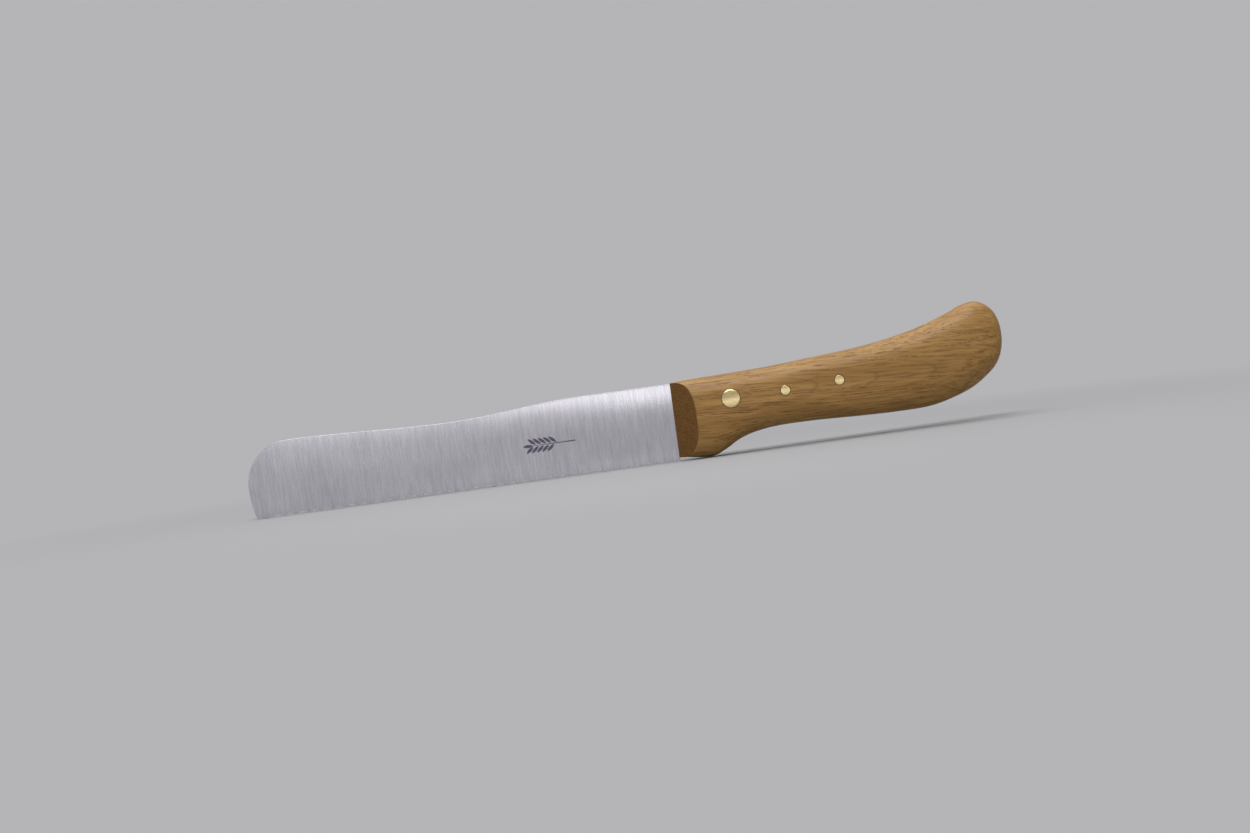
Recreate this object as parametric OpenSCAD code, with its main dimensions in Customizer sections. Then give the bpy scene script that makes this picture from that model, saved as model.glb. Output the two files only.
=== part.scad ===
// Bread knife: a ground steel blade with a serrated edge, held in the saw cut of a wooden handle by a
// two-part rivet and two pins. The blade lies in the plane y = 0 with its edge line at z = 0. It meets
// the handle at x = 0. The nose points to -X, the handle to +X and the back of the blade to +Z.

/* [Blade] */
// Length of the blade from the handle to the nose
blade_l = 207; // [190:1:230]
// Height of the blade where it meets the handle
heel_h = 37.4; // [36:0.1:38]
// Height of the blade at its waist
waist_h = 33.7; // [31:0.1:35]
// Height of the blade at the start of the rounded nose
nose_h = 36.2; // [35:0.1:37]
// Radius of the rounded nose
nose_r = 21; // [18:0.5:24]
// Radius of the gentle curve from the nose down to the edge
front_r = 60; // [50:1:90]
// Radius of the corner between the front and the edge
corner_r = 2.5; // [1:0.5:4]
// Thickness of the back of the blade and of the tang
spine_t = 2.2; // [1.8:0.1:2.6]
// Thickness left above the serrations, at the edge line
edge_t = 0.4; // [0.3:0.1:0.6]

/* [Serrated edge] */
// Distance from one point to the next
wave_pitch = 6; // [5:0.5:8]
// Height of the hollow between two points
wave_depth = 1.2; // [0.8:0.1:1.6]
// Lean of the grinding, which sets how far each hollow climbs up the face
wave_lean = 10; // [9:1:14]
// Plain length left at the heel
wave_start = 6; // [4:1:12]

/* [Handle] */
// Length of the handle
handle_l = 160.7; // [150:0.1:170]
// Thickness of the handle
handle_w = 22.5; // [20:0.5:25]
// Length of the two faceted front corners
bevel_l = 10.7; // [8:0.1:13]
// Squareness of the section at the front, where 2 is an ellipse
front_square = 2.8; // [2.4:0.1:3.4]
// Squareness of the section at the butt
butt_square = 2.3; // [2:0.1:2.8]
// Length of the tang inside the handle
tang_l = 96; // [92:1:110]
// Radius of the saw that cut the slot for the tang
saw_r = 110; // [90:1:140]

/* [Rivet and pins] */
// Diameter of the rivet heads
head_d = 8.9; // [8:0.1:10]
// Depth of the counterbore under a rivet head, from the widest point of the handle
head_t = 3.5; // [2.5:0.1:4.5]
// Outer diameter of the hollow shank
shank_d = 5.2; // [4.8:0.1:6]
// Diameter of the solid pin pressed into the shank
core_d = 3.4; // [3:0.1:3.8]
// Diameter of the two plain pins
pin_d = 4.8; // [4:0.1:6]
// Place of the rivet along the handle
rivet_x = 27.8; // [25:0.1:30]
// Height of the rivet
rivet_z = 26.7; // [24:0.1:28]
// Place of the middle pin along the handle
middle_x = 54; // [50:0.1:58]
// Height of the middle pin
middle_z = 27; // [24:0.1:29]
// Place of the rear pin along the handle
rear_x = 80.1; // [76:0.1:84]
// Height of the rear pin
rear_z = 28.3; // [25:0.1:30]

/* [Hidden] */

steel = [0.67, 0.65, 0.69];
oak = [0.62, 0.46, 0.28];
brass = [0.80, 0.66, 0.34];

// The back of the blade is level to ramp_x, falls to the waist and rises again to the nose.
ramp_x = 0.21 * blade_l;
waist_x = 0.517 * blade_l;
nose_x = blade_l - nose_r;
side_slope = (spine_t - edge_t) / 2 / heel_h;

// The hollows are ground from the right side. Their points just reach the edge line on the left face.
wave_sag = wave_depth * (side_slope + tan(wave_lean));
wave_r = (pow(wave_pitch / 2, 2) + pow(wave_sag, 2)) / (2 * wave_sag);
wave_count = floor((blade_l - wave_start - 6) / wave_pitch);

// Shape of the handle at stations along it, for a handle 160.7 long:
// the x and z of its top line, the x and z of its bottom line, and its share of the full thickness.
// The last station is the end of the butt.
full_l = 160.7;
stations = [
    [-4, 37.2, -4, 1.9, 1],
    [4, 38.0, 4, 1.5, 1],
    [11, 38.3, 11, 0.5, 1],
    [17, 38.5, 17, 0.5, 1],
    [23, 38.6, 23, 3.0, 1],
    [30, 38.8, 30, 6.8, 1],
    [38, 39.0, 38, 9.2, 1],
    [50, 39.5, 50, 10.6, 1],
    [68, 40.8, 68, 10.6, 1],
    [88, 42.3, 88, 9.8, 1],
    [106, 44.7, 106, 9.4, 1],
    [122, 48.2, 122, 9.8, 1],
    [135, 52.5, 134, 12.4, 1],
    [144, 56.0, 144, 16.1, 0.98],
    [150.5, 56.5, 152, 21.3, 0.93],
    [156.4, 53.0, 156.8, 26.0, 0.83],
    [159.5, 47.5, 159.6, 32.2, 0.60],
    [160.7, 39.8, 160.7, 39.8, 0],
];
rows_per_station = 3;
// Two more than a multiple of four, so that each ring has a point on the top and the bottom line and a
// short flat at each side, on which the knife lies still.
ring_points = 42;

function ease(a, b, t) = a + (b - a) * (1 - cos(180 * t)) / 2;

function spine_z(x) =
    x > -ramp_x ? heel_h :
    x > -waist_x ? ease(heel_h, waist_h, (-x - ramp_x) / (waist_x - ramp_x)) :
    ease(waist_h, nose_h, (-x - waist_x) / (nose_x - waist_x));

function arc(cx, cz, r, from, to, steps) =
    [for (i = [0:steps]) [cx + r * cos(from + (to - from) * i / steps),
                          cz + r * sin(from + (to - from) * i / steps)]];

// The lower corner of the nose is an arc tangent to the front curve and to the edge line.
nose_z = nose_h - nose_r;
front_x = -blade_l + front_r;
corner_angle = asin((nose_z - corner_r) / (front_r - corner_r));
corner_x = front_x - (front_r - corner_r) * cos(corner_angle);
blade_outline = concat(
    [[0, 0], [0, heel_h]],
    [for (i = [0:39]) let(x = -ramp_x - (nose_x - ramp_x) * i / 40) [x, spine_z(x)]],
    arc(-nose_x, nose_z, nose_r, 90, 180, 24),
    arc(front_x, nose_z, front_r, 181, 180 + corner_angle, 6),
    arc(corner_x, corner_r, corner_r, 180 + corner_angle + 10, 270, 6)
);

// A smooth curve through the middle two of four rows.
function between(a, b, c, d, t) =
    b + (c - a) * t / 2 + (2 * a - 5 * b + 4 * c - d) * t * t / 2 + (3 * b - a - 3 * c + d) * t * t * t / 2;

// Past the butt the top line runs on into the bottom line, so the neighbour there is mirrored.
function station(i) =
    i < 0 ? 2 * stations[0] - stations[1] :
    i < len(stations) ? stations[i] :
    let(s = stations[len(stations) - 2]) [s[2], s[3], s[0], s[1], -s[4]];

last = len(stations) - 1;
rows = [for (i = [0:last - 1]) for (k = [0:rows_per_station - 1])
    between(station(i - 1), station(i), station(i + 1), station(i + 2), k / rows_per_station)];
stretch = handle_l / full_l;
function top(row) = [row[0] * stretch, row[1]];
function bottom(row) = [row[2] * stretch, row[3]];

handle_outline = concat(
    [for (row = rows) top(row)],
    [top(station(last))],
    [for (i = [len(rows) - 1:-1:0]) bottom(rows[i])]
);

function rounded(v, square) = sign(v) * pow(abs(v), 2 / square);

function ring(row, square) =
    let(mid = (top(row) + bottom(row)) / 2, up = (top(row) - bottom(row)) / 2)
    [for (j = [0:ring_points - 1])
        let(a = 360 * (j + 0.5) / ring_points,
            y = row[4] * handle_w / 2 * rounded(cos(a), square),
            p = mid + up * rounded(sin(a), square))
        [p[0], y, p[1]]];

// The handle before it is cut: rings across it from front to butt, closed by a point at the butt.
module handle_blank() {
    count = len(rows);
    n = ring_points;
    points = concat(
        [for (i = [0:count - 1]) each ring(rows[i], ease(front_square, butt_square, i / count))],
        [[handle_l, 0, top(station(last))[1]]]
    );
    faces = concat(
        [[for (j = [0:n - 1]) j]],
        [for (i = [0:count - 2]) for (j = [0:n - 1]) [i * n + j, (i + 1) * n + j, i * n + (j + 1) % n]],
        [for (i = [0:count - 2]) for (j = [0:n - 1])
            [i * n + (j + 1) % n, (i + 1) * n + j, (i + 1) * n + (j + 1) % n]],
        [for (j = [0:n - 1]) [(count - 1) * n + j, count * n, (count - 1) * n + (j + 1) % n]]
    );
    polyhedron(points, faces);
}

// A plate of thickness t in the plane y = 0.
module plate(t) {
    rotate([90, 0, 0])
        linear_extrude(t, center = true)
            children();
}

// A round bar across the knife from y0 to y1.
module cross_bar(x, z, d, y0, y1) {
    translate([x, y1, z])
        rotate([90, 0, 0])
            cylinder(d = d, h = y1 - y0, $fn = 64);
}

// The saw cut along the handle, with the round end that the saw leaves.
module saw_cut(from, to) {
    intersection() {
        translate([from, -spine_t / 2, -20])
            cube([to - from, spine_t, 100]);
        translate([to - saw_r, 0, 26])
            rotate([90, 0, 0])
                cylinder(r = saw_r, h = 2 * spine_t, center = true, $fn = 180);
    }
}

module wedge() {
    rotate([90, 0, 90])
        translate([0, 0, -blade_l - 1])
            linear_extrude(blade_l + 1)
                polygon([
                    [-edge_t / 2, 0],
                    [edge_t / 2, 0],
                    [spine_t / 2, heel_h],
                    [-spine_t / 2, heel_h],
                ]);
}

module hollow() {
    rotate([-wave_lean, 0, 0])
        translate([0, wave_r, -2])
            cylinder(r = wave_r, h = 9, $fn = 96);
}

module blade() {
    color(steel)
        difference() {
            union() {
                intersection() {
                    plate(4)
                        polygon(blade_outline);
                    wedge();
                }
                intersection() {
                    plate(spine_t)
                        polygon(handle_outline);
                    saw_cut(0, tang_l);
                }
            }
            for (i = [0:wave_count - 1])
                translate([-wave_start - (i + 0.5) * wave_pitch, -edge_t / 2 - wave_sag, 0])
                    hollow();
            cross_bar(rivet_x, rivet_z, shank_d, -3, 3);
            cross_bar(middle_x, middle_z, pin_d, -3, 3);
            cross_bar(rear_x, rear_z, pin_d, -3, 3);
        }
}

// What the two faceted corners leave away in front of the handle. They meet the faces of the blade at x = 0.
module front_cut() {
    reach = handle_w / 2 + 3;
    slope = bevel_l / ((handle_w - spine_t) / 2);
    far = slope * (reach - spine_t / 2);
    translate([0, 0, -10])
        linear_extrude(70)
            polygon([[-8, -reach], [far, -reach], [-slope * spine_t / 2, 0], [far, reach], [-8, reach]]);
}

module handle() {
    seat = handle_w / 2 - head_t;
    color(oak)
        difference() {
            handle_blank();
            front_cut();
            saw_cut(-8, tang_l);
            cross_bar(rivet_x, rivet_z, shank_d, -seat - 1, seat + 1);
            cross_bar(rivet_x, rivet_z, head_d, seat, handle_w);
            cross_bar(rivet_x, rivet_z, head_d, -handle_w, -seat);
            cross_bar(middle_x, middle_z, pin_d, -handle_w, handle_w);
            cross_bar(rear_x, rear_z, pin_d, -handle_w, handle_w);
        }
}

// The half with the hollow shank, whose head shows on the right side.
module front_rivet_female() {
    seat = handle_w / 2 - head_t;
    color(brass)
        difference() {
            union() {
                cross_bar(rivet_x, rivet_z, shank_d, -seat + 0.5, seat + 0.5);
                intersection() {
                    cross_bar(rivet_x, rivet_z, head_d, seat, handle_w);
                    handle_blank();
                }
            }
            cross_bar(rivet_x, rivet_z, core_d, -seat, seat - 2);
        }
}

// The half with the solid pin, whose head shows on the left side.
module front_rivet_male() {
    seat = handle_w / 2 - head_t;
    color(brass)
        union() {
            cross_bar(rivet_x, rivet_z, core_d, -seat - 0.5, seat - 2.5);
            intersection() {
                cross_bar(rivet_x, rivet_z, head_d, -handle_w, -seat);
                handle_blank();
            }
        }
}

module flush_pin(x, z) {
    color(brass)
        intersection() {
            cross_bar(x, z, pin_d, -handle_w, handle_w);
            handle_blank();
        }
}

module middle_pin() {
    flush_pin(middle_x, middle_z);
}

module rear_pin() {
    flush_pin(rear_x, rear_z);
}

blade();
handle();
front_rivet_female();
front_rivet_male();
middle_pin();
rear_pin();
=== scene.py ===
"""Looks of the bread knife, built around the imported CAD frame.

Lengths are in millimetres in the frame's own axes: the edge line of the blade is z = 0, the blade meets the
handle at x = 0 and lies in the plane y = 0, and the left side of the knife faces -Y, towards the camera.
"""

import math

import bmesh
import bpy
import numpy as np
from mathutils import Matrix, Vector


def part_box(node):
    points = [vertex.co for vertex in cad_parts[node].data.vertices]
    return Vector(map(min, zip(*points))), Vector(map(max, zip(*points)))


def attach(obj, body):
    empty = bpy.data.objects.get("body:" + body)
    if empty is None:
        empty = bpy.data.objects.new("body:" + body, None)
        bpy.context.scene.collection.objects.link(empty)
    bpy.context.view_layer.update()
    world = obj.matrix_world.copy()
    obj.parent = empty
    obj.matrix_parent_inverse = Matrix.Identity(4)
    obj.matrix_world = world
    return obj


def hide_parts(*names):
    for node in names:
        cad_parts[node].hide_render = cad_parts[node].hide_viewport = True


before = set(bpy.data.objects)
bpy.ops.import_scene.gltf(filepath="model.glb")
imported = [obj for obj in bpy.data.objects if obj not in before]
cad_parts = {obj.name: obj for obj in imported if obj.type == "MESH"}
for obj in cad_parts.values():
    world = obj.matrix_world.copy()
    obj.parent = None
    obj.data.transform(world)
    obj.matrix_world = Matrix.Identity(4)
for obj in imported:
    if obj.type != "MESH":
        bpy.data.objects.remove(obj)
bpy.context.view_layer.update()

MM = 0.001


def corners(node):
    """The lowest and highest corner of a CAD node, in millimetres."""
    low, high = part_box(node)
    return np.array(low) / MM, np.array(high) / MM


# ---- Sizes, from the frame where its boxes give them ----

BLADE_L = -corners("blade")[0][0]
SPINE_T = 2 * corners("blade")[1][1]
HANDLE_L = corners("handle")[1][0]
HANDLE_HALF = corners("handle")[1][1]

HEEL_H = 37.4
WAIST_H = 33.7
NOSE_H = 36.2
NOSE_R = 21
FRONT_R = 60
CORNER_R = 2.5
EDGE_T = 0.4
SIDE_SLOPE = (SPINE_T - EDGE_T) / 2 / HEEL_H

WAVE_PITCH = 6
WAVE_DEPTH = 1.2
WAVE_LEAN = math.radians(10)
WAVE_START = 6

BEVEL_L = 10.7
TANG_L = 96
SAW_R = 110
SAW_Z = 26
TANG_SUNK = 0.12

HEAD_SEAT = 7.75
SHANK_R = 2.6
CORE_R = 1.7
CORE_GAP = 0.02
CORE_TIP = HEAD_SEAT - 2.5
CORE_END_EASE = 0.3
SOCKET_FLOOR = HEAD_SEAT - 2
SHANK_MOUTH = -HEAD_SEAT + 0.5
BORE_REACH = HANDLE_HALF + 3


# ---- Small tools ----

def ease(a, b, t):
    return a + (b - a) * (1 - np.cos(np.pi * t)) / 2


def arc(cx, cz, r, start, end, steps):
    angles = np.radians(np.linspace(start, end, steps + 1))
    return [(cx + r * math.cos(a), cz + r * math.sin(a)) for a in angles]


def spread(points, count):
    """count points at even distances along a line of points."""
    points = np.array(points, float)
    along = np.concatenate([[0], np.cumsum(np.linalg.norm(np.diff(points, axis=0), axis=1))])
    at = np.linspace(0, along[-1], count)
    return np.stack([np.interp(at, along, points[:, k]) for k in range(points.shape[1])], axis=1)


def new_object(name, points, faces):
    """A mesh object from points in millimetres, with its faces turned outwards."""
    mesh = bpy.data.meshes.new(name)
    mesh.from_pydata([tuple(np.array(p, float) * MM) for p in points], [], faces)
    work = bmesh.new()
    work.from_mesh(mesh)
    bmesh.ops.recalc_face_normals(work, faces=work.faces)
    work.to_mesh(mesh)
    work.free()
    obj = bpy.data.objects.new(name, mesh)
    bpy.context.scene.collection.objects.link(obj)
    return obj


def loops_to_tube(loops, closed=True):
    """The points and faces of a tube that joins loops of points one after another."""
    n = len(loops[0])
    faces = [(i * n + j, i * n + (j + 1) % n, (i + 1) * n + (j + 1) % n, (i + 1) * n + j)
             for i in range(len(loops) - 1) for j in range(n)]
    if closed:
        faces.append(tuple(range(n - 1, -1, -1)))
        faces.append(tuple(range((len(loops) - 1) * n, len(loops) * n)))
    return [p for loop in loops for p in loop], faces


def cut(obj, cutter):
    """Takes the cutter away from obj, then deletes the cutter."""
    modifier = obj.modifiers.new("cut", "BOOLEAN")
    modifier.operation = "DIFFERENCE"
    modifier.solver = "EXACT"
    modifier.object = cutter
    graph = bpy.context.evaluated_depsgraph_get()
    result = bpy.data.meshes.new_from_object(obj.evaluated_get(graph))
    obj.modifiers.remove(modifier)
    old = obj.data
    obj.data = result
    bpy.data.meshes.remove(old)
    bpy.data.objects.remove(cutter)


def smooth(obj, angle=28):
    obj.data.shade_smooth()
    obj.data.set_sharp_from_angle(angle=math.radians(angle))


def add_side_uv(obj):
    """A UV map along the knife and up it, which gives the grinding its direction."""
    layer = obj.data.uv_layers.new(name="side")
    for loop in obj.data.loops:
        co = obj.data.vertices[loop.vertex_index].co
        layer.data[loop.index].uv = (co.x * 4 + 1, co.z * 4)


# ---- The handle's shape, as the CAD has it ----

# x and z of the top line, x and z of the bottom line, and the share of the full thickness.
STATIONS = np.array([
    [-4, 37.2, -4, 1.9, 1],
    [4, 38.0, 4, 1.5, 1],
    [11, 38.3, 11, 0.5, 1],
    [17, 38.5, 17, 0.5, 1],
    [23, 38.6, 23, 3.0, 1],
    [30, 38.8, 30, 6.8, 1],
    [38, 39.0, 38, 9.2, 1],
    [50, 39.5, 50, 10.6, 1],
    [68, 40.8, 68, 10.6, 1],
    [88, 42.3, 88, 9.8, 1],
    [106, 44.7, 106, 9.4, 1],
    [122, 48.2, 122, 9.8, 1],
    [135, 52.5, 134, 12.4, 1],
    [144, 56.0, 144, 16.1, 0.98],
    [150.5, 56.5, 152, 21.3, 0.93],
    [156.4, 53.0, 156.8, 26.0, 0.83],
    [159.5, 47.5, 159.6, 32.2, 0.60],
    [160.7, 39.8, 160.7, 39.8, 0],
])
LAST = len(STATIONS) - 1
FRONT_SQUARE = 2.8
BUTT_SQUARE = 2.3


def station(i):
    if i < 0:
        return 2 * STATIONS[0] - STATIONS[1]
    if i <= LAST:
        return STATIONS[i]
    x, z, low_x, low_z, share = STATIONS[LAST - 1]
    return np.array([low_x, low_z, x, z, -share])


def row(t):
    """The handle's top and bottom point and its share of thickness at a place t, counted in stations."""
    i = min(int(t), LAST - 1)
    a, b, c, d = (station(i + k) for k in (-1, 0, 1, 2))
    t -= i
    return b + (c - a) * t / 2 + (2 * a - 5 * b + 4 * c - d) * t**2 / 2 + (3 * b - a - 3 * c + d) * t**3 / 2


DENSE_T = np.linspace(0, LAST, 1700)
DENSE_ROWS = np.array([row(t) for t in DENSE_T])


def row_at(x):
    """The row whose top point is at x, and its place t. It is used where the rows stand upright."""
    t = np.interp(x, DENSE_ROWS[:, 0], DENSE_T)
    return row(t), t


def squareness(t):
    return ease(FRONT_SQUARE, BUTT_SQUARE, t / LAST)


def ring_point(one_row, t, angle):
    """A point of the handle's surface: angle 0 is the right side and 90 degrees the top."""
    power = 2 / squareness(t)
    side = math.copysign(abs(math.cos(angle)) ** power, math.cos(angle))
    up = math.copysign(abs(math.sin(angle)) ** power, math.sin(angle))
    top = one_row[0:2]
    low = one_row[2:4]
    x, z = (top + low) / 2 + (top - low) / 2 * up
    return np.array([x, one_row[4] * HANDLE_HALF * side, z])


def side_of_handle(x, z):
    """Half the handle's thickness at a point of its side."""
    one_row, t = row_at(x)
    middle = (one_row[1] + one_row[3]) / 2
    half_height = (one_row[1] - one_row[3]) / 2
    power = squareness(t)
    return one_row[4] * HANDLE_HALF * max(0, 1 - abs((z - middle) / half_height) ** power) ** (1 / power)


# ---- The handle ----

BEVEL_SLOPE = BEVEL_L / (HANDLE_HALF - SPINE_T / 2)
RING_POINTS = 128
FRONT_RINGS = 26
FRONT_END = 26
FRONT_STEPS = 8
ROWS_PER_STATION = 9
ARRIS_R = 0.35


def bevel_x(y):
    """Where the faceted front corner lies at a distance y from the middle."""
    return max(0.0, BEVEL_SLOPE * (abs(y) - SPINE_T / 2))


def front_ring():
    """The outline of the two faceted corners: where they meet the rounded body."""
    points = []
    for j in range(RING_POINTS):
        angle = 2 * math.pi * j / RING_POINTS
        x = 0.0
        for _ in range(3):
            one_row, t = row_at(x)
            x = bevel_x(ring_point(one_row, t, angle)[1])
        points.append(x)
    return points


def handle_rings():
    """Rings of points from the front of the handle to just short of the butt's last point."""
    angles = [2 * math.pi * j / RING_POINTS for j in range(RING_POINTS)]
    starts = front_ring()
    rings = []
    for i in range(FRONT_RINGS):
        share = (i / FRONT_RINGS) ** 1.2
        ring = []
        for angle, start in zip(angles, starts):
            one_row, t = row_at(start + (FRONT_END - start) * share)
            ring.append(ring_point(one_row, t, angle))
        rings.append(ring)
    first = row_at(FRONT_END)[1]
    count = int((LAST - first) * ROWS_PER_STATION)
    for t in np.linspace(first, LAST, count, endpoint=False):
        one_row = row(t)
        rings.append([ring_point(one_row, t, angle) for angle in angles])
    return rings


def front_rows(points, ring):
    """Rows of point numbers across the front, each from the right over both faceted corners to the left.

    The points between the two ends of each row are added to points."""
    quarter = RING_POINTS // 4
    rows = []
    for j in range(-quarter, quarter + 1):
        right = j % RING_POINTS
        left = (RING_POINTS // 2 - j) % RING_POINTS
        if right == left:
            rows.append([right])
            continue
        _, edge_y, z = ring[right]
        inner = min(SPINE_T / 2, 0.8 * edge_y)
        across = [edge_y + (inner - edge_y) * k / FRONT_STEPS for k in range(1, FRONT_STEPS + 1)]
        first = len(points)
        points += [np.array([bevel_x(y), y, z]) for y in across]
        points += [np.array([bevel_x(y), -y, z]) for y in reversed(across)]
        rows.append([right, *range(first, first + 2 * FRONT_STEPS), left])
    return rows


def faces_between(a, b):
    """Faces between two rows of point numbers, where either row may be a single point."""
    if len(a) == 1:
        return [(a[0], b[k], b[k + 1]) for k in range(len(b) - 1)]
    if len(b) == 1:
        return [(a[k + 1], a[k], b[0]) for k in range(len(a) - 1)]
    return [(a[k + 1], a[k], b[k], b[k + 1]) for k in range(len(a) - 1)]


def ease_arris(obj):
    """Rounds the sharp line round the faceted corners a little, as sanding leaves it."""
    work = bmesh.new()
    work.from_mesh(obj.data)
    work.verts.ensure_lookup_table()
    ring = set(range(RING_POINTS))
    arris = [e for e in work.edges
             if e.verts[0].index in ring and e.verts[1].index in ring
             and min(abs(v.co.y) for v in e.verts) > 1.5 * SPINE_T * MM]
    bmesh.ops.bevel(work, geom=arris, offset=ARRIS_R * MM, segments=3, profile=0.5, affect="EDGES")
    work.to_mesh(obj.data)
    work.free()


def make_handle():
    rings = handle_rings()
    points, faces = loops_to_tube(rings, closed=False)
    butt = len(points)
    points.append(np.array([HANDLE_L, 0, STATIONS[LAST][1]]))
    base = (len(rings) - 1) * RING_POINTS
    faces += [(base + j, base + (j + 1) % RING_POINTS, butt) for j in range(RING_POINTS)]
    rows = front_rows(points, rings[0])
    for a, b in zip(rows, rows[1:]):
        faces += faces_between(a, b)
    obj = new_object("oak_handle", points, faces)
    ease_arris(obj)
    return obj


# ---- Cutters and turned pieces, which run across the knife ----

def turned(name, x, z, rings, count=96):
    """A closed piece turned about a line across the knife.

    rings are (radius, y), where y may be a function of x and z, and the first and last radius are 0."""
    angles = [2 * math.pi * j / count for j in range(count)]

    def at(radius, y, angle):
        px = x + radius * math.cos(angle)
        pz = z + radius * math.sin(angle)
        return (px, y(px, pz) if callable(y) else y, pz)

    points = [at(*rings[0], 0)]
    for radius, y in rings[1:-1]:
        points += [at(radius, y, angle) for angle in angles]
    points.append(at(*rings[-1], 0))
    faces = [(0, 1 + (j + 1) % count, 1 + j) for j in range(count)]
    for i in range(len(rings) - 3):
        a = 1 + i * count
        b = a + count
        faces += [(a + j, a + (j + 1) % count, b + (j + 1) % count, b + j) for j in range(count)]
    base = 1 + (len(rings) - 3) * count
    faces += [(base + j, base + (j + 1) % count, len(points) - 1) for j in range(count)]
    return new_object(name, points, faces)


def flush(side, proud=0.0):
    """A face that follows the handle's surface on one side, side being 1 or -1."""
    return lambda x, z: side * (side_of_handle(x, z) + proud)


def centre_of(node):
    """x and z of the middle of a fastening's node, and its radius."""
    low, high = corners(node)
    return (low[0] + high[0]) / 2, (low[2] + high[2]) / 2, (high[0] - low[0]) / 2


RIM = 0.16
GAP = 0.06
DOME_R = 85


def head_rings(radius, side):
    """The face of a head or pin, from its slightly domed middle to the eased rim."""
    face_r = radius - GAP - RIM
    rings = [(face_r * s, flush(side, face_r**2 * (1 - s**2) / 2 / DOME_R)) for s in np.linspace(0, 1, 8)]
    return [*rings, (radius - GAP - 0.3 * RIM, flush(side, -0.3 * RIM)), (radius - GAP, flush(side, -RIM))]


def make_pin(name, node):
    x, z, radius = centre_of(node)
    right = head_rings(radius, 1)
    left = head_rings(radius, -1)
    return turned(name, x, z, left + right[::-1])


def make_male(name, node):
    """The rivet's left half: a head with a solid core."""
    x, z, radius = centre_of(node)
    rings = [*head_rings(radius, -1), (radius - GAP, -HEAD_SEAT), (CORE_R, -HEAD_SEAT),
             (CORE_R, CORE_TIP - CORE_END_EASE), (CORE_R - CORE_END_EASE, CORE_TIP), (0, CORE_TIP)]
    return turned(name, x, z, rings)


def make_female(name, node):
    """The rivet's right half: a head with a hollow shank that takes the core."""
    x, z, radius = centre_of(node)
    socket_r = CORE_R + CORE_GAP
    rings = [*head_rings(radius, 1), (radius - GAP, HEAD_SEAT), (SHANK_R, HEAD_SEAT), (SHANK_R, SHANK_MOUTH),
             (socket_r, SHANK_MOUTH), (socket_r, SOCKET_FLOOR), (0, SOCKET_FLOOR)]
    return turned(name, x, z, rings)


def rivet_bore(x, z, radius):
    """A hole for the shank, with a counterbore for the head on each side."""
    half = [(0, BORE_REACH), (radius, BORE_REACH), (radius, HEAD_SEAT), (SHANK_R, HEAD_SEAT)]
    return turned("bore", x, z, [(r, -y) for r, y in half] + half[::-1])


def pin_bore(x, z, radius):
    half = [(0, BORE_REACH), (radius, BORE_REACH)]
    return turned("bore", x, z, [(r, -y) for r, y in half] + half[::-1])


SLOT_FRONT = -8
SLOT_LOW = -20
SLOT_HIGH = 80


def saw_end(z):
    """How far along the handle the round end of the saw cut lies."""
    return TANG_L - SAW_R + math.sqrt(SAW_R**2 - (z - SAW_Z)**2)


def saw_slot():
    """The saw cut, as a slab that reaches past the handle at the front, above and below."""
    half = SPINE_T / 2
    outline = [(SLOT_FRONT, SLOT_LOW), *[(saw_end(z), z) for z in np.linspace(SLOT_LOW, SLOT_HIGH, 60)],
               (SLOT_FRONT, SLOT_HIGH)]
    points, faces = loops_to_tube([[(x, y, z) for x, z in outline] for y in (-half, half)])
    return new_object("slot", points, faces)


# ---- The blade ----

RAMP_X = 0.21 * BLADE_L
WAIST_X = 0.517 * BLADE_L
NOSE_X = BLADE_L - NOSE_R
NOSE_Z = NOSE_H - NOSE_R
FRONT_X = -BLADE_L + FRONT_R
CORNER_ANGLE = math.asin((NOSE_Z - CORNER_R) / (FRONT_R - CORNER_R))
CORNER_X = FRONT_X - (FRONT_R - CORNER_R) * math.cos(CORNER_ANGLE)

WAVE_SAG = WAVE_DEPTH * (SIDE_SLOPE + math.tan(WAVE_LEAN))
WAVE_R = ((WAVE_PITCH / 2)**2 + WAVE_SAG**2) / (2 * WAVE_SAG)
WAVE_COUNT = int((BLADE_L - WAVE_START - 6) // WAVE_PITCH)

COLUMN = WAVE_PITCH / 16
FAN_X = 168
FAN_SLICES = 150
TANG_SLICES = 60
SPINE_ROUND = 0.22
TANG_ROUND = 0.02
BELLY = 0.28
BELLY_TIP = 0.05
BELLY_X = 130
BELLY_Z = 4


def spine_z(x):
    if x > -RAMP_X:
        return HEEL_H
    if x > -WAIST_X:
        return ease(HEEL_H, WAIST_H, (-x - RAMP_X) / (WAIST_X - RAMP_X))
    return ease(WAIST_H, NOSE_H, (-x - WAIST_X) / (NOSE_X - WAIST_X))


def half_thickness(x, z):
    """Half the blade's thickness: a wedge with a slight belly high on the side, which grows to the heel."""
    rise = min(max((z - BELLY_Z) / (HEEL_H - BELLY_Z), 0), 1)
    share = min(max((x + BELLY_X) / BELLY_X, 0), 1)
    return EDGE_T / 2 + SIDE_SLOPE * z + ease(BELLY_TIP, BELLY, share) * rise**2 * (1 - rise) * 27 / 4


def hollow_sag(x):
    """How far a ground hollow has run out sideways at x, from its deepest line."""
    nearest = min(max(round((-x - WAVE_START) / WAVE_PITCH - 0.5), 0), WAVE_COUNT - 1)
    away = abs(-x - WAVE_START - (nearest + 0.5) * WAVE_PITCH)
    if away >= WAVE_R:
        return WAVE_R
    return (WAVE_R - math.sqrt(WAVE_R**2 - away**2)) / math.cos(WAVE_LEAN)


def edge_z(x):
    """Height of the serrated edge over the edge line."""
    return max(0.0, (WAVE_SAG - hollow_sag(x)) / (math.tan(WAVE_LEAN) + SIDE_SLOPE))


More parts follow.
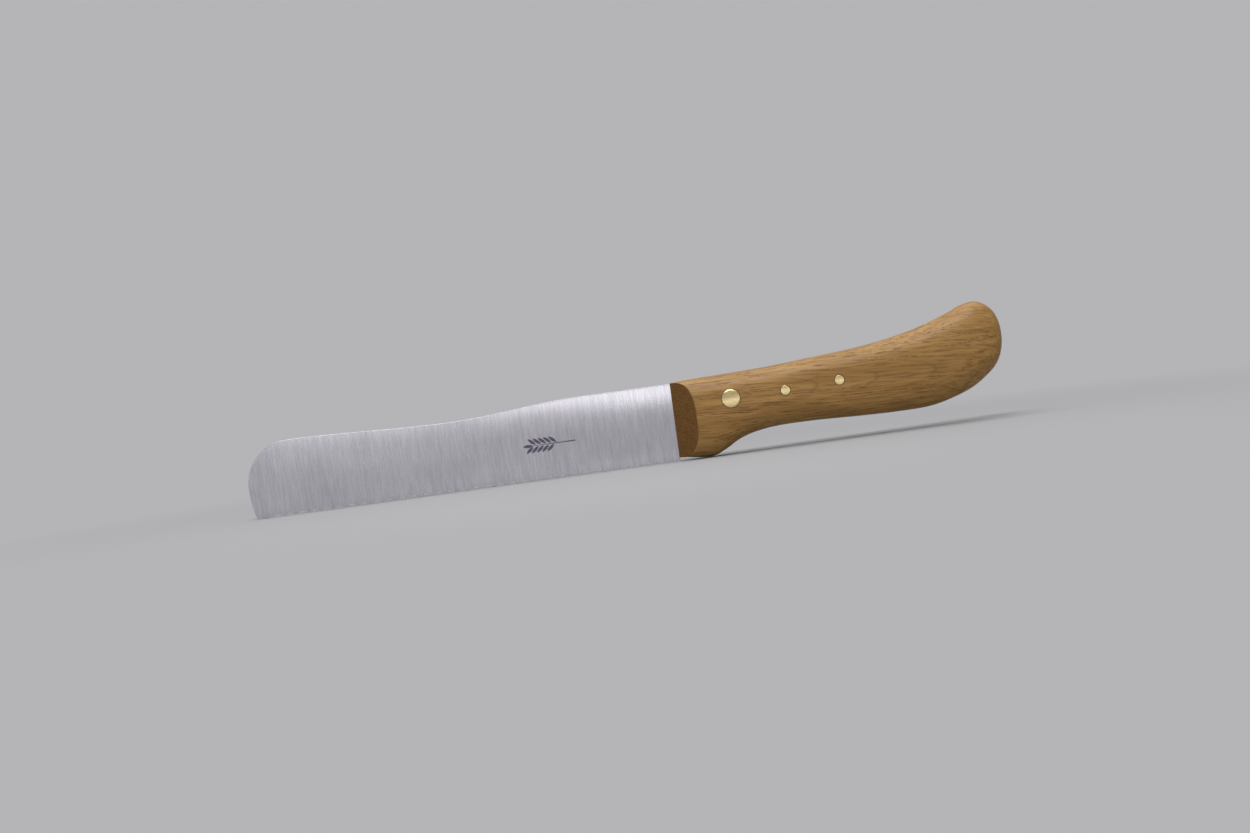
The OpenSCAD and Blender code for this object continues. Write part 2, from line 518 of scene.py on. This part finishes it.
def right_face(x, z):
    """The right side, with the hollows ground into it, kept a little thicker than nothing at the edge."""
    ground = -EDGE_T / 2 - WAVE_SAG + z * math.tan(WAVE_LEAN) + hollow_sag(x)
    half = half_thickness(x, z)
    return max(0.02 - half, min(half, ground))


# Heights of the points up each face, for the full height: close together in the ground hollows.
FACE_ROWS = np.concatenate([np.arange(0, 5.4, 0.3), np.arange(5.8, 9, 0.8), np.linspace(9.5, 34, 13), [36]])


def blade_loop(low, high, left, right, rounding):
    """The outline of one slice of the blade between its lowest and highest point."""
    low = np.array(low, float)
    high = np.array(high, float)
    height = np.linalg.norm(high - low)
    up = (high - low) / height
    rounding = min(rounding, 0.3 * height)
    shares = FACE_ROWS / FACE_ROWS[-1] * (1 - 1.5 * rounding / height)
    side = [low + (high - low) * s for s in shares]
    turn = np.radians([0, 30, 60, 90])
    curve = [(high - up * rounding * (1 - math.sin(a)), rounding * (1 - math.cos(a))) for a in turn]
    outline = [(p[0], left(*p), p[1]) for p in side]
    outline += [(p[0], left(*p) + inset, p[1]) for p, inset in curve]
    outline += [(p[0], right(*p) - inset, p[1]) for p, inset in reversed(curve)]
    outline += [(p[0], right(*p), p[1]) for p in reversed(side)]
    return outline


def left_face(x, z):
    return -half_thickness(x, z)


def nose_slices():
    """Slices that fan out from the corner between the front and the edge."""
    corner_end = 180 + math.degrees(CORNER_ANGLE)
    middle = (corner_end + 270) / 2
    over = [(x, spine_z(x)) for x in np.linspace(-FAN_X, -NOSE_X, 30)]
    over += arc(-NOSE_X, NOSE_Z, NOSE_R, 90, 180, 60)[1:]
    over += arc(FRONT_X, NOSE_Z, FRONT_R, 180, corner_end, 12)[1:]
    over += arc(CORNER_X, CORNER_R, CORNER_R, corner_end, middle, 6)[1:]
    under = [(x, 0) for x in np.linspace(-FAN_X, CORNER_X, 60)]
    under += arc(CORNER_X, CORNER_R, CORNER_R, 270, middle, 6)[1:]
    slices = []
    for high, low in list(zip(spread(over, FAN_SLICES), spread(under, FAN_SLICES)))[-2:0:-1]:
        if low[0] > CORNER_X:
            low[1] = edge_z(low[0])
        slices.append(blade_loop(low, high, left_face, right_face, SPINE_ROUND))
    return slices


def blade_slices():
    """Upright slices, a whole number to each hollow."""
    places = [-i * COLUMN for i in range(int(FAN_X / COLUMN), -1, -1)]
    return [blade_loop((x, edge_z(x)), (x, spine_z(x)), left_face, right_face, SPINE_ROUND) for x in places]


def tang_slices():
    """Slices that follow the top and bottom line of the handle up to the round end of the saw cut."""
    half = SPINE_T / 2
    slices = []
    for share in np.linspace(0, 1, TANG_SLICES):
        ends = []
        for line, sink in ((3, TANG_SUNK), (1, -TANG_SUNK)):
            z = SAW_Z
            for _ in range(4):
                x = share * saw_end(z)
                z = row_at(x)[0][line]
            ends.append((x, z + sink))
        slices.append(blade_loop(*ends, lambda x, z: -half, lambda x, z: half, TANG_ROUND))
    return slices


def make_blade():
    points, faces = loops_to_tube(nose_slices() + blade_slices() + tang_slices())
    return new_object("steel_blade", points, faces)


# ---- The etched mark: a plain ear of wheat ----

MARK_X = -57.5
MARK_Z = 17
MARK_PROUD = 0.012
MARK_DEPTH = 0.05
LEAF_STEPS = 8


def leaf(x, z, length, width, angle):
    """The outline of a pointed leaf whose foot is at x, z."""
    shares = [k / LEAF_STEPS for k in range(LEAF_STEPS + 1)]
    outline = [(length * share, width / 2 * math.sin(math.pi * share) ** 0.8) for share in shares]
    outline += [(u, -v) for u, v in reversed(outline[1:-1])]
    c, s = math.cos(angle), math.sin(angle)
    return [(x + u * c - v * s, z + u * s + v * c) for u, v in outline]


def ear_of_wheat():
    shapes = []
    lean = math.radians(40)
    for k in range(5):
        x = MARK_X - 2.5 * k
        shapes.append(leaf(x, MARK_Z + 0.35, 4.9, 1.5, math.pi - lean))
        shapes.append(leaf(x - 1.25, MARK_Z - 0.35, 4.9, 1.5, math.pi + lean))
    tip = MARK_X - 11.3
    shapes.append(leaf(tip, MARK_Z, 5.0, 1.6, math.pi))
    foot = MARK_X + 9
    shapes.append([(tip, MARK_Z - 0.12), (foot, MARK_Z - 0.3), (foot, MARK_Z + 0.3), (tip, MARK_Z + 0.12)])
    return shapes


def make_mark():
    """Each shape is a thin plate let into the left face of the blade."""
    points = []
    faces = []
    for shape in ear_of_wheat():
        first = len(points)
        n = len(shape)
        for depth in (-MARK_PROUD, MARK_DEPTH):
            points += [(x, -half_thickness(x, z) + depth, z) for x, z in shape]
        faces.append(tuple(range(first, first + n)))
        faces.append(tuple(range(first + 2 * n - 1, first + n - 1, -1)))
        faces += [(first + (j + 1) % n, first + j, first + n + j, first + n + (j + 1) % n) for j in range(n)]
    return new_object("etched_mark", points, faces)


# ---- Materials ----

class Nodes:
    """A material under construction. Its coordinates are the object's own, in millimetres."""

    def __init__(self, name):
        self.material = bpy.data.materials.new(name)
        self.material.use_nodes = True
        self.tree = self.material.node_tree
        self.shader = self.tree.nodes["Principled BSDF"]
        self.place = self.tree.nodes.new("ShaderNodeTexCoord")
        self.position = self.vector("MULTIPLY", self.place.outputs["Object"], (1 / MM,) * 3)

    def new(self, kind, **settings):
        node = self.tree.nodes.new("ShaderNode" + kind)
        for key, value in settings.items():
            setattr(node, key, value)
        return node

    def link(self, value, socket):
        if isinstance(value, bpy.types.NodeSocket):
            self.tree.links.new(value, socket)
        else:
            socket.default_value = value

    def math(self, operation, *values):
        node = self.new("Math", operation=operation)
        for value, socket in zip(values, node.inputs):
            self.link(value, socket)
        return node.outputs[0]

    def vector(self, operation, *values):
        node = self.new("VectorMath", operation=operation)
        for value, socket in zip(values, node.inputs):
            self.link(value, socket)
        return node.outputs["Value"] if operation in ("LENGTH", "DOT_PRODUCT") else node.outputs[0]

    def split(self, value):
        node = self.new("SeparateXYZ")
        self.link(value, node.inputs[0])
        return node.outputs

    def join(self, x, y, z):
        node = self.new("CombineXYZ")
        for value, socket in zip((x, y, z), node.inputs):
            self.link(value, socket)
        return node.outputs[0]

    def noise(self, where, size=(1, 1, 1), detail=2.0, roughness=0.5, color=False):
        """Noise whose features are about size millimetres long each way."""
        node = self.new("TexNoise", noise_dimensions="3D")
        scaled = self.vector("DIVIDE", where, size)
        self.link(scaled, node.inputs["Vector"])
        node.inputs["Scale"].default_value = 1
        node.inputs["Detail"].default_value = detail
        node.inputs["Roughness"].default_value = roughness
        return node.outputs["Color" if color else "Fac"]

    def steps(self, value, low, high, to_low=0.0, to_high=1.0):
        """Smoothly from to_low, where value is under low, to to_high, where it is over high."""
        node = self.new("MapRange", interpolation_type="SMOOTHSTEP")
        for v, socket in zip((value, low, high, to_low, to_high), node.inputs):
            self.link(v, socket)
        return node.outputs[0]

    def mix(self, share, a, b):
        node = self.new("Mix", data_type="RGBA")
        for value, socket in zip((share, a, b), (node.inputs[0], node.inputs[6], node.inputs[7])):
            if not isinstance(value, bpy.types.NodeSocket) and socket.type == "RGBA":
                value = (*value, 1)
            self.link(value, socket)
        return node.outputs[2]

    def bump(self, height, distance, normal=None):
        """Bump from a height in millimetres times distance."""
        node = self.new("Bump")
        node.inputs["Strength"].default_value = 1
        node.inputs["Distance"].default_value = distance * MM
        self.link(height, node.inputs["Height"])
        if normal is not None:
            self.link(normal, node.inputs["Normal"])
        return node.outputs[0]

    def finish(self, **sockets):
        for name, value in sockets.items():
            self.link(value, self.shader.inputs[name.replace("_", " ")])
        return self.material


def steel():
    m = Nodes("satin_steel")
    p = m.position
    fine = m.noise(p, (0.22, 0.5, 7), detail=3, roughness=0.7)
    lines = m.noise(p, (0.9, 0.7, 15), detail=3, roughness=0.7)
    broad = m.noise(p, (7, 5, 40), detail=2)
    cloud = m.noise(p, (26, 20, 13), detail=3)
    tone = m.math("ADD", m.math("MULTIPLY", lines, 0.85), m.math("MULTIPLY", broad, 0.15))
    color = m.mix(m.steps(tone, 0.30, 0.70), (0.52, 0.505, 0.55), (0.645, 0.625, 0.675))
    color = m.mix(m.steps(cloud, 0.35, 0.75, 0, 0.12), color, (0.61, 0.585, 0.645))
    rough = m.math("ADD", m.steps(fine, 0.25, 0.75, 0.22, 0.29), m.steps(cloud, 0.3, 0.7, -0.01, 0.01))
    height = m.math("ADD", m.math("MULTIPLY", fine, 0.6), m.math("MULTIPLY", lines, 0.5))
    wave = m.noise(p, (60, 45, 26), detail=1)
    normal = m.bump(wave, 0.2, normal=m.bump(height, 0.010))
    tangent = m.new("Tangent", direction_type="UV_MAP", uv_map="side")
    return m.finish(Base_Color=color, Metallic=1.0, Roughness=rough, Anisotropic=0.8, Normal=normal,
                    Tangent=tangent.outputs[0])


def brass():
    m = Nodes("flush_brass")
    p = m.position
    scratches = m.noise(p, (7, 1, 0.22), detail=3, roughness=0.6)
    blotch = m.noise(p, (3.5, 3.5, 2.5), detail=2)
    color = m.mix(m.steps(scratches, 0.3, 0.7), (0.66, 0.51, 0.25), (0.80, 0.64, 0.345))
    color = m.mix(m.steps(blotch, 0.45, 0.75, 0, 0.35), color, (0.42, 0.325, 0.14))
    rough = m.steps(scratches, 0.3, 0.7, 0.22, 0.30)
    return m.finish(Base_Color=color, Metallic=1.0, Roughness=rough, Normal=m.bump(scratches, 0.004))


def etch():
    m = Nodes("etched_mark")
    grain = m.noise(m.position, (0.25, 0.25, 0.25), detail=2)
    color = m.mix(m.steps(grain, 0.3, 0.7), (0.075, 0.062, 0.10), (0.14, 0.12, 0.17))
    return m.finish(Base_Color=color, Metallic=0.35, Roughness=m.steps(grain, 0.3, 0.7, 0.5, 0.65))


GRAIN_LEAN = math.radians(3.5)
RING_GAP = 1.15
PITH_Y = -49
PITH_Z = 33.4
ARCH_R = 38
ARCH_X = 121
TAPER = 0.0425
VESSEL_GAP = 0.75


def grain_place(m):
    """The place in the wood: along the grain in x, with the waviness of the tree."""
    turn = m.new("VectorRotate", rotation_type="Y_AXIS")
    m.link(m.position, turn.inputs["Vector"])
    turn.inputs["Angle"].default_value = -GRAIN_LEAN
    warp = m.noise(turn.outputs[0], (70, 30, 24), detail=1, color=True)
    warp = m.vector("MULTIPLY", m.vector("SUBTRACT", warp, (0.5, 0.5, 0.5)), (0, 1.2, 3.0))
    ripple = m.noise(turn.outputs[0], (9, 9, 6), detail=1, color=True)
    ripple = m.vector("MULTIPLY", m.vector("SUBTRACT", ripple, (0.5, 0.5, 0.5)), (0, 0.3, 0.3))
    return m.vector("ADD", turn.outputs[0], m.vector("ADD", warp, ripple))


def growth_rings(m, p):
    """The pale early wood of each growth ring, and the dark line where the ring ends.

    The pith lies beyond the left side, so that the rings come out on the sides as long arches."""
    x = m.split(p)[0]
    from_pith = m.vector("MULTIPLY", m.vector("SUBTRACT", p, (0, PITH_Y, PITH_Z)), (0, 1, 1))
    radius = m.vector("LENGTH", from_pith)
    along = m.math("MULTIPLY", m.math("SUBTRACT", x, ARCH_X), TAPER)
    ring = m.math("DIVIDE", m.math("ADD", m.math("SUBTRACT", radius, ARCH_R), along), RING_GAP)
    phase = m.math("FRACT", m.math("ADD", ring, 100.0))
    early = m.math("SUBTRACT", 1.0, m.steps(phase, 0.12, 0.5))
    line = m.math("MULTIPLY", m.steps(phase, 0.86, 0.98), m.steps(phase, 0.985, 1.0, 1, 0))
    return early, m.math("MULTIPLY", line, m.steps(x, 126, 138, 0.45, 0.12))


def vessels(m, p, early):
    """Long thin tubes along the grain, cut open here and there, which show as rows of dark dashes."""
    tubes = m.new("TexVoronoi", feature="F1", distance="EUCLIDEAN")
    m.link(m.vector("DIVIDE", p, (75, VESSEL_GAP, VESSEL_GAP)), tubes.inputs["Vector"])
    tubes.inputs["Scale"].default_value = 1
    chance = m.split(tubes.outputs["Color"])[0]
    share = m.math("ADD", m.math("MULTIPLY", early, 0.30), 0.72)
    shown = m.steps(m.math("SUBTRACT", share, chance), -0.05, 0.05)
    open_here = m.steps(m.noise(p, (1.9, 0.6, 0.6), detail=1), 0.42, 0.52)
    dash = m.math("MULTIPLY", m.steps(tubes.outputs["Distance"], 0.18, 0.37, 1, 0), open_here)
    return m.math("MULTIPLY", dash, shown)


def with_end_grain(m, color):
    """End grain takes up more oil: the faceted front corners, and less so the butt."""
    facing = m.split(m.place.outputs["Normal"])[0]
    front = m.steps(facing, -0.68, -0.42, 1, 0)
    back = m.steps(facing, 0.35, 0.95)
    pits = m.noise(m.position, (1.6, 1.6, 0.35), detail=2)
    end_grain = m.mix(m.steps(pits, 0.35, 0.65), (0.078, 0.031, 0.002), (0.15, 0.062, 0.005))
    color = m.mix(m.math("MULTIPLY", front, 0.9), color, end_grain)
    return m.mix(m.math("MULTIPLY", back, 0.30), color, (0.31, 0.142, 0.026))


def with_painted_joint_shade(m, color):
    """Painted shade: a thin dark line on the wood round each fastening, standing in for the shadow in the
    joint between brass and wood.
    """
    for node in ("front_rivet_male", "middle_pin", "rear_pin"):
        x, z, radius = centre_of(node)
        off = m.vector("MULTIPLY", m.vector("SUBTRACT", m.position, (x, 0, z)), (1, 0, 1))
        # painted shade: the wood is darkened in a thin ring just outside each fastening's edge
        joint_shade = m.steps(m.vector("LENGTH", off), radius + 0.08, radius + 0.42, 0.75, 0)
        color = m.mix(joint_shade, color, (0.09, 0.045, 0.015))
    return color


def oak():
    m = Nodes("oiled_oak")
    p = grain_place(m)
    early, line = growth_rings(m, p)
    dash = vessels(m, p, early)
    fibre = m.noise(p, (22, 0.35, 0.35), detail=3, roughness=0.65)
    streak = m.noise(p, (90, 2.4, 2.4), detail=3)
    rows = m.noise(p, (13, 1.0, 1.0), detail=2, roughness=0.6)
    cloud = m.noise(p, (50, 14, 12), detail=2)

    color = m.mix(m.steps(streak, 0.32, 0.68), (0.29, 0.152, 0.037), (0.40, 0.226, 0.068))
    color = m.mix(m.steps(fibre, 0.3, 0.72, 0, 0.5), color, (0.25, 0.128, 0.033))
    color = m.mix(m.steps(cloud, 0.4, 0.75, 0, 0.4), color, (0.43, 0.240, 0.072))
    color = m.mix(m.math("MULTIPLY", early, 0.20), color, (0.235, 0.116, 0.030))
    color = m.mix(m.steps(rows, 0.48, 0.64, 0, 0.55), color, (0.165, 0.074, 0.017))
    color = m.mix(line, color, (0.16, 0.075, 0.022))
    color = m.mix(m.math("MULTIPLY", dash, 0.72), color, (0.10, 0.046, 0.013))
    # the painted shade round the fastenings is laid over the wood's colour here
    color = with_painted_joint_shade(m, with_end_grain(m, color))

    rough = m.math("ADD", m.steps(fibre, 0.3, 0.7, 0.42, 0.52), m.math("MULTIPLY", dash, 0.15))
    normal = m.bump(m.math("SUBTRACT", m.math("MULTIPLY", fibre, 0.25), dash), 0.06)
    return m.finish(Base_Color=color, Roughness=rough, Coat_Weight=0.06, Coat_Roughness=0.35,
                    Specular_IOR_Level=0.28, Normal=normal)


# ---- The pieces ----

handle = make_handle()
cut(handle, saw_slot())
cut(handle, rivet_bore(*centre_of("front_rivet_male")))
cut(handle, pin_bore(*centre_of("middle_pin")))
cut(handle, pin_bore(*centre_of("rear_pin")))
smooth(handle)

blade = make_blade()
for node, radius in (("front_rivet_male", SHANK_R), ("middle_pin", None), ("rear_pin", None)):
    x, z, own = centre_of(node)
    cut(blade, pin_bore(x, z, radius or own))
add_side_uv(blade)
smooth(blade, 20)

male = make_male("brass_rivet_male", "front_rivet_male")
female = make_female("brass_rivet_female", "front_rivet_female")
middle = make_pin("brass_middle_pin", "middle_pin")
rear = make_pin("brass_rear_pin", "rear_pin")
mark = make_mark()

brass_material = brass()
for piece, material, slot, node in (
    (handle, oak(), "handle_wood", "handle"),
    (blade, steel(), "blade_steel", "blade"),
    (male, brass_material, "rivet_brass", "front_rivet_male"),
    (female, brass_material, "rivet_brass", "front_rivet_female"),
    (middle, brass_material, "rivet_brass", "middle_pin"),
    (rear, brass_material, "rivet_brass", "rear_pin"),
    (mark, etch(), "blade_steel", None),
):
    piece.data.materials.clear()
    piece.data.materials.append(material)
    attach(piece, "root")
    if node:
        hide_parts(node)
for piece in (male, female, middle, rear):
    smooth(piece, 25)


# ---- Floor, light and camera ----

PALE = (0.46, 0.46, 0.472)
FLOOR_R = 12000
FADE_FROM = 110
FADE_TO = 450


def make_floor():
    """A pale disc that fades into the colour of the background far from the knife."""
    ring = [(x, y, 0) for x, y in arc(0, 0, FLOOR_R, 0, 360, 96)[:-1]]
    floor = new_object("floor", ring, [tuple(range(len(ring)))])
    m = Nodes("pale_floor")
    speck = m.noise(m.position, (3, 3, 3), detail=4)
    color = m.mix(m.steps(speck, 0.3, 0.7), (0.312, 0.312, 0.319), (0.327, 0.327, 0.334))
    m.finish(Base_Color=color, Roughness=m.steps(speck, 0.3, 0.7, 0.7, 0.8), Specular_IOR_Level=0.2)
    far = m.new("Emission")
    far.inputs["Color"].default_value = (*PALE, 1)
    blend = m.new("MixShader")
    m.link(m.steps(m.vector("LENGTH", m.position), FADE_FROM, FADE_TO), blend.inputs[0])
    m.link(m.shader.outputs[0], blend.inputs[1])
    m.link(far.outputs[0], blend.inputs[2])
    m.link(blend.outputs[0], m.tree.nodes["Material Output"].inputs["Surface"])
    floor.data.materials.append(m.material)


def make_world():
    world = bpy.data.worlds.new("studio")
    bpy.context.scene.world = world
    world.use_nodes = True
    world.node_tree.nodes["Background"].inputs["Color"].default_value = (*PALE, 1)


def softbox(name, place, target, width, height, power):
    """An area light at place, in millimetres, that faces target."""
    light = bpy.data.lights.new(name, "AREA")
    light.shape = "RECTANGLE"
    light.size = width * MM
    light.size_y = height * MM
    light.energy = power
    obj = bpy.data.objects.new(name, light)
    bpy.context.scene.collection.objects.link(obj)
    away = Vector(place) - Vector(target)
    obj.location = Vector(place) * MM
    obj.rotation_euler = away.to_track_quat("Z", "Y").to_euler()


TILT = math.radians(7.9)
PITCH = math.radians(1.2)
LENS = 70
SENSOR = 36
VIEW_WIDTH = 600
AIM = Vector((-23.3, 0, 24.9))


def make_camera():
    """From the left side, almost level, and rolled so that the handle rises as it does in a knife block."""
    camera = bpy.data.cameras.new("camera")
    camera.lens = LENS
    camera.sensor_width = SENSOR
    camera.clip_start = 0.01
    obj = bpy.data.objects.new("camera", camera)
    bpy.context.scene.collection.objects.link(obj)
    up = Vector((math.sin(TILT), 0, math.cos(TILT)))
    right = Vector((math.cos(TILT), 0, -math.sin(TILT)))
    back = Vector((0, -math.cos(PITCH), 0)) + up * math.sin(PITCH)
    up = back.cross(right)
    turn = Matrix((right, up, back)).transposed()
    place = AIM + back * VIEW_WIDTH * LENS / SENSOR
    obj.matrix_world = Matrix.LocRotScale(place * MM, turn.to_quaternion(), None)
    bpy.context.scene.camera = obj


make_floor()
make_world()
softbox("overhead", (-60, 160, 850), (0, 0, 20), 1000, 500, 4.4)
softbox("key", (-40, -480, 800), (0, 0, 20), 460, 260, 5.0)
softbox("strip", (0, -1500, 75), (-30, 0, 20), 1400, 170, 1.2)
make_camera()
bpy.context.scene.view_settings.view_transform = "Standard"
